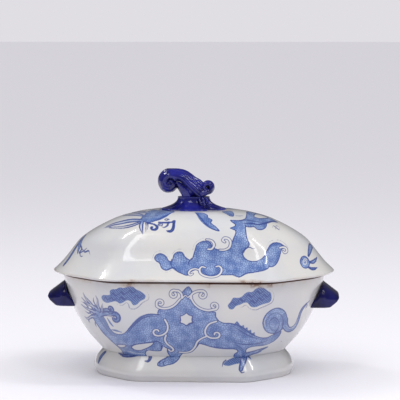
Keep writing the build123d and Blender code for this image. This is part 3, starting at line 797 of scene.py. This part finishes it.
def make_bowl(material):
    """The bowl: outer face, rolled rim, then the hollow down to a flat floor."""
    outer, up = profile(bowl_curve, bowl_low[2], bowl_high[2] - edge_round, waist, rim, row_step)
    top = bowl_high[2]
    lip_out = (top, rim[0] - edge_round, rim[1] - edge_round)
    mouth = (rim[0] - bowl_wall, rim[1] - bowl_wall)
    lip_in = (top, mouth[0] + edge_round, mouth[1] + edge_round)
    hollow, _ = profile(bowl_curve, bowl_low[2], bowl_high[2], waist, rim, inner_step)
    hollow = inset(hollow, bowl_wall)[::-1]
    floor = bowl_low[2] + bowl_floor
    hollow = hollow[(hollow[:, 0] > floor + 4) & (hollow[:, 0] < top - edge_round)]
    last = hollow[-1]
    bend_end = (floor, last[1] - floor_bend, last[2] - floor_bend)
    bend_corner = (floor, last[1] - floor_bend / 3, last[2] - floor_bend / 3)
    bend = rounded(last, bend_end, bend_corner, 5)
    rows = np.concatenate([
        outer,
        rounded(outer[-1], lip_out, (top, *rim)), [lip_out], [lip_in],
        rounded(lip_in, (top - edge_round, *mouth), (top, *mouth)), [(top - edge_round, *mouth)],
        hollow, bend, [bend_end, (floor, last[1] * 0.4, last[2] * 0.4)]])
    piece, u, v = shell("tureen_bowl", rows, (slice(0, len(outer)), up))
    art = Ornament(u, v)
    print_bowl(art)
    art.attach(piece)
    dress(piece, "bowl", "tureen", material)


def make_foot(material):
    """The foot: a ring of bevelled plinth, spreading side and hollow underneath."""
    outer, up = profile(foot_curve, plinth_height, foot_high[2], waist, foot_edge, row_step)
    base = (foot_edge[0] - plinth_taper, foot_edge[1] - plinth_taper)
    base_in = (base[0] - foot_wall, base[1] - foot_wall)
    neck = (waist[0] - foot_wall, waist[1] - foot_wall)
    band = np.linspace((plinth_edge, *base), (plinth_height - plinth_edge, *foot_edge), 8)
    inner = np.array([(28.0, *waist), (20.0, 111.0, 67.5), (plinth_height, *foot_edge),
                      (plinth_edge, *base)])
    inner[:, 1:] -= foot_wall
    rows = np.concatenate([
        [(0.0, base[0] - plinth_edge, base[1] - plinth_edge)], band, outer[1:],
        [(foot_high[2], *neck)], curve_through(inner, 4)[1:],
        [(0.0, base_in[0] + plinth_edge, base_in[1] + plinth_edge)]])
    run = np.concatenate([np.linspace(0, plinth_height - 1, len(band)), plinth_height + up[1:]])
    piece, u, v = shell("tureen_foot", rows, (slice(1, 1 + len(run)), run))
    join_ring(piece)
    art = Ornament(u, v)
    print_foot(art)
    art.attach(piece)
    dress(piece, "foot", "tureen", material)


def join_ring(piece):
    """Turns a capped run of rows into a ring: the two caps give way to one joining strip."""
    work = bmesh.new()
    work.from_mesh(piece.data)
    caps = [f for f in work.faces if len(f.verts) > 4]
    rims = [[e for e in f.edges] for f in caps]
    bmesh.ops.delete(work, geom=caps, context="FACES_ONLY")
    bmesh.ops.bridge_loops(work, edges=rims[0] + rims[1])
    bmesh.ops.recalc_face_normals(work, faces=work.faces)
    for face in work.faces:
        face.smooth = True
    work.to_mesh(piece.data)
    work.free()


def make_lid(material):
    """The lid: the roof inside, its seat on the rim, the undercut lip and the printed dome."""
    dome, up = profile(dome_curve, lip_middle, lid_high[2], crown, brim, row_step)
    low = lid_low[2]
    seat = (low, rim[0] - edge_round, rim[1] - edge_round)
    under = (low + lid_undercut, brim[0] - lip_height / 2, brim[1] - lip_height / 2)
    belly = (low + lid_undercut, brim[0] - 0.2, brim[1] - 0.2)
    mouth = (rim[0] - flange_set, rim[1] - flange_set)
    roof, _ = profile(dome_curve, lip_middle, lid_high[2], crown, brim, inner_step)
    roof = inset(roof, lid_wall)
    roof = roof[(roof[:, 1] < mouth[0]) & (roof[:, 2] < mouth[1]) & (roof[:, 0] > low + 2)]
    rows = np.concatenate([
        roof[::-1], [(low, *mouth)], [seat], [under], rounded(under, dome[0], belly, 6), dome])
    start = len(rows) - len(dome)
    piece, u, v = shell("lid_shell", rows, (slice(start, len(rows)), up))
    art = Ornament(u, v)
    print_lid(art)
    art.attach(piece)
    dress(piece, "lid", "lid", material)


# ---- Finial -------------------------------------------------------------------------------
def tube(work, path, radii, sides=14):
    """Adds a closed round tube along a path to a bmesh, millimetres."""
    path = np.asarray(path, float)
    radii = spread(radii, np.linspace(0, 1, len(path)))
    slope = directions(path)
    across = np.cross(slope, [0, 1, 0])
    across /= np.maximum(np.linalg.norm(across, axis=1), 1e-6)[:, None]
    other = np.cross(slope, across)
    turn = [2 * math.pi * k / sides for k in range(sides)]
    rings = []
    for p, r, a, b in zip(path, radii, across, other):
        rings.append([work.verts.new((p + r * (math.cos(w) * a + math.sin(w) * b)) * MM)
                      for w in turn])
    for low, high in zip(rings, rings[1:]):
        for k in range(sides):
            m = (k + 1) % sides
            work.faces.new((low[k], low[m], high[m], high[k]))
    work.faces.new(rings[0][::-1])
    work.faces.new(rings[-1])


def ball(work, centre, size):
    """Adds an ellipsoid to a bmesh, millimetres."""
    made = bmesh.ops.create_uvsphere(work, u_segments=24, v_segments=16, radius=1.0)
    for vert in made["verts"]:
        vert.co = Vector([(centre[k] + vert.co[k] * size[k]) * MM for k in range(3)])


def resurface(piece, voxel, smooth):
    """Remakes a piece as one closed skin of the voxel's size, then smooths it."""
    remesh = piece.modifiers.new("skin", "REMESH")
    remesh.mode = "VOXEL"
    remesh.voxel_size = voxel * MM
    soften = piece.modifiers.new("soften", "SMOOTH")
    soften.factor = 0.5
    soften.iterations = smooth
    graph = bpy.context.evaluated_depsgraph_get()
    made = bpy.data.meshes.new_from_object(piece.evaluated_get(graph))
    piece.modifiers.clear()
    old = piece.data
    piece.data = made
    bpy.data.meshes.remove(old)
    made.shade_smooth()


def fused(name, work, voxel, smooth):
    """One closed skin over everything in a bmesh."""
    bmesh.ops.recalc_face_normals(work, faces=work.faces)
    mesh = bpy.data.meshes.new(name)
    work.to_mesh(mesh)
    work.free()
    piece = link(name, mesh)
    resurface(piece, voxel, smooth)
    return piece


def read_points(piece):
    """The places of a piece's vertices, in metres."""
    points = np.empty(len(piece.data.vertices) * 3, np.float32)
    piece.data.vertices.foreach_get("co", points)
    return points.reshape(-1, 3)


def write_points(piece, points, low, high):
    """Places a piece's vertices, with the few that stand proud of a box back on its sides."""
    points = np.clip(points, np.array(low) * MM, np.array(high) * MM).astype(np.float32)
    piece.data.vertices.foreach_set("co", points.ravel())
    piece.data.update()


def fan(work, path, width, lift, angles, radii):
    """Ribs side by side over an arch: at an angle of 0 a rib stands highest above the path."""
    slope = directions(path)
    outward = np.stack([slope[:, 1], -slope[:, 0]], 1)
    for angle in np.radians(angles):
        off = lift * math.cos(angle)
        middle = np.stack([path[:, 0] + outward[:, 0] * off, width * math.sin(angle),
                           path[:, 1] + outward[:, 1] * off], 1)
        tube(work, middle, radii)


def make_scroll(material):
    """A fluted scroll: ribs laid over an arch, rolled into a large curl and a small one."""
    low_z = scroll_low[2]
    big = (scroll_low[0] + curl_radius, scroll_high[2] - curl_radius)
    small = (scroll_high[0] - small_curl_radius, low_z + 11.5)
    half_width = (scroll_high[1] - scroll_low[1]) / 2

    # the nearest rib's path: up from the neck and once round the large curl
    turns = np.radians(np.linspace(62, 400, 13))
    reach = np.interp(turns, [turns[0], turns[6], turns[-1]], [8.4, 8.0, 2.2])
    curl = [(big[0] + r * math.cos(w), big[1] + r * math.sin(w)) for w, r in zip(turns, reach)]
    path = curve_through([(8, low_z + 0.5), (4, low_z + 4), (-5, low_z + 13),
                          (-13, low_z + 21)] + curl, 6)
    share = np.linspace(0, 1, len(path))
    width = np.interp(share, [0, 0.2, 0.6, 0.85, 1], [0.6, 0.86, 0.84, 0.74, 0.6]) * half_width
    lift = np.interp(share, [0, 0.1, 0.17, 0.23, 0.3, 0.5, 0.75, 1],
                     [12.5, 12.0, 8.0, 5.0, 3.6, 3.6, 3.4, 0.5])
    work = bmesh.new()
    fan(work, path, width, lift, range(-90, 91, 18), (2.0, 2.1, 1.9, 1.6))
    for part in (0.3, 0.65):
        fan(work, path, width * 0.55, lift * part, (-60, 0, 60), (5.0, 6.0, 4.5, 3.5, 2.0))
    ball(work, (big[0], 0, big[1]), (8, half_width * 0.80, 8))
    ball(work, (-4, 0, low_z + 8), (13, half_width * 0.74, 9))
    ball(work, (5, 0, low_z + 8), (11, half_width * 0.70, 9))
    ball(work, (small[0], 0, small[1]), (5.5, half_width * 0.5, 5.5))
    for side in (-1, 1):
        eye = spiral(big, 7.6, 1.2, 1.25, 20)
        tube(work, curve_through([(x, side * (half_width - 2.2), z) for x, z in eye], 4),
             (1.9, 1.9, 1.5))
        # ribs under the curl, falling to the neck
        for k in range(4):
            fall = [(big[0] + 8 + 2.6 * k, big[1] + 1 - 2.8 * k),
                    (big[0] + 12 + 2.2 * k, low_z + 11 - k),
                    (big[0] + 14 + 2.2 * k, low_z + 5),
                    (big[0] + 16.5 + 2.0 * k, low_z + 0.5)]
            middle = [(x, side * half_width * (0.80 - 0.05 * m), z) for m, (x, z) in enumerate(fall)]
            tube(work, curve_through(middle, 5), (1.7, 1.9, 1.7))
    for k in range(5):
        tube(work, [(-15 + 1.5 * k, 0, low_z + 14 - 2 * k), (-6 + k, 0, low_z + 1)], (6, 7))

    # the small curl, rolled the other way
    turns = np.radians(np.linspace(-100, 300, 12))
    reach = np.interp(turns, [turns[0], turns[-1]], [5.6, 2.2])
    curl = [(small[0] + r * math.cos(w), small[1] + r * math.sin(w)) for w, r in zip(turns, reach)]
    path = curve_through([(8, low_z + 3)] + curl, 5)
    fan(work, path, np.full(len(path), 0.7 * half_width), np.full(len(path), 1.2),
        (-84, -50, -17, 17, 50, 84), (3.2, 2.3, 2.2, 1.7))
    piece = fused("finial_scroll_ribs", work, 0.5, 2)
    write_points(piece, read_points(piece), scroll_low, scroll_high)
    dress(piece, "finial_scroll", "lid", material)


def make_skirt(material):
    """The flared base: a folded neck that spreads into petals on the lid."""
    neck_z, crown_z = base_high[2], base_low[2]
    skirt = (base_high[0], base_high[1])
    neck = skirt_neck
    around = np.linspace(0, 2 * math.pi, 240, endpoint=False)

    def dips(centres, spread):
        """How near each place is to the centres, in degrees, or to their opposites."""
        total = 0
        for centre in centres:
            gap = (np.degrees(around) - centre + 90) % 180 - 90
            total = total + np.exp(-(gap / spread) ** 2)
        return total

    notches = dips([313], 11) + 0.3 * dips([236], 9)
    folds = dips([290, 301, 325, 340], 3.5) + 0.6 * dips([230, 215], 5)
    rings = []
    for t in np.linspace(0, 1, 34):
        flare = (1 - t) ** 2.6
        z = crown_z + petal_edge + t * (neck_z - crown_z - petal_edge)
        notched = 1 - 0.45 * notches * (1 - t) ** 2.2
        folded = 1 - 0.12 * folds * math.sin(math.pi * t) ** 0.7
        swell = notched * folded
        half_x = neck[0] + flare * (skirt[0] - neck[0])
        half_y = neck[1] + flare * (skirt[1] - neck[1])
        rings.append(np.stack([half_x * swell * np.cos(around), half_y * swell * np.sin(around),
                               np.full(len(around), z)], 1))
    bottom = rings[0] * [0.985, 0.985, 0] + [0, 0, crown_z]
    piece = stack("finial_skirt", [bottom] + rings)
    dress(piece, "finial_base", "lid", material)

    # hanging leaves over the notches
    work = bmesh.new()
    for side in (-1, 1):
        for x, drop in ((7.5, 9.0), (11.5, 11.0), (16.0, 8.0)):
            y = side * (neck[1] - 0.05 * x)
            tube(work, curve_through([(x - 1, y * 0.96, neck_z - 0.5), (x, y * 1.03, neck_z - 4),
                                      (x + 1.5, y * 1.17, neck_z - drop + 2),
                                      (x + 2.5, y * 1.28, neck_z - drop)], 5),
                 (1.2, 1.6, 1.9, 0.4))
    leaves = fused("finial_leaves", work, 0.5, 2)
    write_points(leaves, read_points(leaves), base_low, base_high)
    leaves.data.materials.append(material)
    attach(leaves, "lid")


# ---- Handles ------------------------------------------------------------------------------
def make_handle(node, material):
    """A moulded lug: the CAD solid's form, rounded off towards its front and back."""
    piece = link(node + "_lug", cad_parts[node].data.copy())
    piece.data.materials.clear()
    resurface(piece, lug_voxel, lug_smoothing)
    low, high = box_mm(node)
    points = read_points(piece)
    x, y, z = points.T
    past = np.clip((np.abs(x) / MM - rim[0]) / lug_reach, 0, 1)
    aside = np.abs(y) / MM / (high[1] - lug_taper * past)
    thin = np.sqrt(np.clip(1 - aside ** 2.4, 0, 1))
    middle = (low[2] + lug_middle) * MM
    z[:] = middle + (z - middle) * np.where(z > middle, 0.2 + 0.8 * thin, 0.7 + 0.3 * thin)
    write_points(piece, points, low, high)
    dress(piece, node, "tureen", material)


# ---- Room, lights and camera --------------------------------------------------------------
def make_floor():
    """A plain pale floor, 120 m wide. Its far edge is the faint line behind the tureen."""
    mesh = bpy.data.meshes.new("floor")
    size = 60.0
    mesh.from_pydata([(-size, -size, 0), (size, -size, 0), (size, size, 0), (-size, size, 0)], [],
                     [(0, 1, 2, 3)])
    n = Nodes("floor_paper")
    n.shader.inputs["Base Color"].default_value = linear(235, 233, 239)
    n.shader.inputs["Roughness"].default_value = 0.75
    mesh.materials.append(n.material)
    link("floor", mesh)


def softbox(name, azimuth, elevation, width, height, power):
    """A rectangular light aimed at the tureen. Azimuth 0 is in front, +90 is towards +X."""
    a, e = math.radians(azimuth), math.radians(elevation)
    aim = Vector((0, 0, 0.12))
    away = Vector((math.sin(a) * math.cos(e), -math.cos(a) * math.cos(e), math.sin(e)))
    data = bpy.data.lights.new(name, "AREA")
    data.shape = "RECTANGLE"
    data.size, data.size_y, data.energy = width, height, power
    lamp = link(name, data)
    lamp.location = aim + away * lamp_distance
    lamp.rotation_euler = (-away).to_track_quat("-Z", "Y").to_euler()


def make_lights():
    """Four soft lamps that the glaze mirrors, a wide soft light from above, and a pale room."""
    softbox("softbox_left", -118, 55, 0.12, 0.5, 4)
    softbox("softbox_right", 80, 50, 0.12, 0.9, 6)
    softbox("window_left", -22, 50, 0.36, 0.8, 3.6)
    softbox("window_right", 28, 50, 0.30, 0.8, 3.2)
    data = bpy.data.lights.new("ceiling", "SUN")
    data.energy = 2.0
    data.angle = math.radians(110)
    lamp = link("ceiling", data)
    lamp.rotation_euler = (math.radians(8), 0, 0)
    lamp.visible_glossy = False

    # a pale backdrop, and dimmer walls where it only lights the tureen or mirrors in its glaze
    world = bpy.data.worlds.new("studio")
    world.use_nodes = True
    tree = world.node_tree
    sky = tree.nodes["Background"]
    sky.inputs["Color"].default_value = linear(224, 222, 227)
    path = tree.nodes.new("ShaderNodeLightPath")
    shown = tree.nodes.new("ShaderNodeMix")
    shown.inputs[2].default_value = wall_light
    shown.inputs[3].default_value = 1.0
    mirrored = tree.nodes.new("ShaderNodeMix")
    mirrored.inputs[3].default_value = wall_mirror
    tree.links.new(path.outputs["Is Camera Ray"], shown.inputs[0])
    tree.links.new(path.outputs["Is Glossy Ray"], mirrored.inputs[0])
    tree.links.new(shown.outputs[0], mirrored.inputs[2])
    tree.links.new(mirrored.outputs[0], sky.inputs["Strength"])
    bpy.context.scene.world = world


def make_camera():
    """A long lens, 2.2 m from the tureen's axis, a little above its finial and 3 degrees round."""
    distance, height, azimuth, pitch = 2.2, 0.3978, math.radians(3.0), 0.0893
    data = bpy.data.cameras.new("camera")
    data.sensor_width = 36.0
    data.lens = 171.2
    data.shift_x = 0.0156
    camera = link("camera", data)
    camera.location = (distance * math.sin(azimuth), -distance * math.cos(azimuth), height)
    camera.rotation_euler = (math.pi / 2 - pitch, 0, azimuth)
    bpy.context.scene.camera = camera


make_camera()
make_floor()
make_lights()
bpy.context.scene.view_settings.view_transform = "Standard"

tureen_glaze = glaze("tureen_glaze", 110.0, 124.0)
lid_glaze = glaze("lid_glaze", 112.0, 123.0)
finial_cobalt = cobalt_glaze("finial_cobalt", linear(32, 34, 128), linear(16, 16, 80), 1.5)
handle_cobalt = cobalt_glaze("handle_cobalt", linear(26, 26, 92), linear(12, 12, 52), 1.33)
make_bowl(tureen_glaze)
make_foot(tureen_glaze)
make_lid(lid_glaze)
make_scroll(finial_cobalt)
make_skirt(finial_cobalt)
for handle in ("handle_left", "handle_right"):
    make_handle(handle, handle_cobalt)
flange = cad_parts["lid_flange"]
flange.data.materials.clear()
flange.data.materials.append(plain_glaze())
